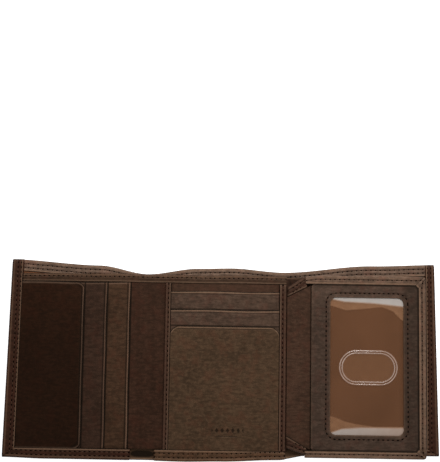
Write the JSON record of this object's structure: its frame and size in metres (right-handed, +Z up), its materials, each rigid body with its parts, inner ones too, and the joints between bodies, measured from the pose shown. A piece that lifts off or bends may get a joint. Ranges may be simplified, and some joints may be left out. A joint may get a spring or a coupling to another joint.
{
  "type": "trifold wallet",
  "caption": "Leather trifold wallet, lying open: folding front flap and right panel, flip-out ID page with clear window, card slots and a bill compartment.",
  "frame": {"origin": "under the middle of the open wallet, on the face that it lies on", "axes": "+X along the open wallet towards the ID page, +Y towards the open edge of the bill compartment, +Z up out of the inside"},
  "size_m": [0.2358, 0.1083, 0.0055],
  "materials": {
    "outer_leather": "smooth full-grain leather, satin",
    "edge_leather": "turned and stitched edges, fine grain",
    "inner_leather": "fine-grained leather",
    "dark_leather": "smooth dark leather",
    "satin": "woven satin lining",
    "clear_sheet": "clear flexible plastic sheet",
    "thread": "twisted thread, tone on tone"
  },
  "bodies": {
    "middle_panel": {"shell_middle": "outer_leather", "top_hem_middle": "edge_leather", "bill_lining_middle": "satin", "wall_middle": "inner_leather", "bottom_hem_middle": "edge_leather", "top_binding_middle": "edge_leather", "middle_slot_back": "inner_leather", "middle_slot_front": "inner_leather", "front_pocket": "inner_leather", "border_strip_left": "edge_leather", "border_strip_right": "edge_leather", "shell_fold_left": "outer_leather", "shell_fold_right": "outer_leather", "lining_fold_left": "satin", "lining_fold_right": "satin", "wall_fold_left": "inner_leather", "wall_fold_right": "inner_leather", "stitching_middle": "thread"},
    "left_panel": {"shell_left": "outer_leather", "top_hem_left": "edge_leather", "bill_lining_left": "satin", "wall_left": "inner_leather", "side_hem_left": "edge_leather", "bottom_hem_left": "edge_leather", "top_binding_left": "edge_leather", "flap_slot_inner": "inner_leather", "flap_slot_outer": "inner_leather", "flap_pocket": "dark_leather", "badge": "edge_leather", "stitching_left": "thread"},
    "right_panel": {"shell_right": "outer_leather", "top_hem_right": "edge_leather", "bill_lining_right": "satin", "wall_right": "inner_leather", "side_hem_right": "edge_leather", "bottom_hem_right": "edge_leather", "slip_pocket": "inner_leather", "stitching_right": "thread"},
    "id_page": {"page_back": "inner_leather", "page_lining": "satin", "id_window": "clear_sheet", "page_frame": "inner_leather", "page_border_top": "edge_leather", "page_border_side": "edge_leather", "page_border_bottom": "edge_leather", "page_tongue": "inner_leather", "tongue_binding_top": "edge_leather", "tongue_binding_bottom": "edge_leather", "page_stitching": "thread"}
  },
  "joints": [
    {"name": "left_fold", "type": "hinge", "parent": "middle_panel", "child": "left_panel", "pos_m": [-0.0425, 0, 0.0073], "axis": [0, 1, 0], "range_deg": [0, 179.9], "deforming": ["shell_fold_left", "lining_fold_left", "wall_fold_left"]},
    {"name": "right_fold", "type": "hinge", "parent": "middle_panel", "child": "right_panel", "pos_m": [0.0375, 0, 0.005], "axis": [0, -1, 0], "range_deg": [0, 179.9], "deforming": ["shell_fold_right", "lining_fold_right", "wall_fold_right"]},
    {"name": "page_flip", "type": "hinge", "parent": "right_panel", "child": "id_page", "pos_m": [0.0375, 0, 0.005], "axis": [0, 1, 0], "range_deg": [-179.9, 0]}
  ]
}
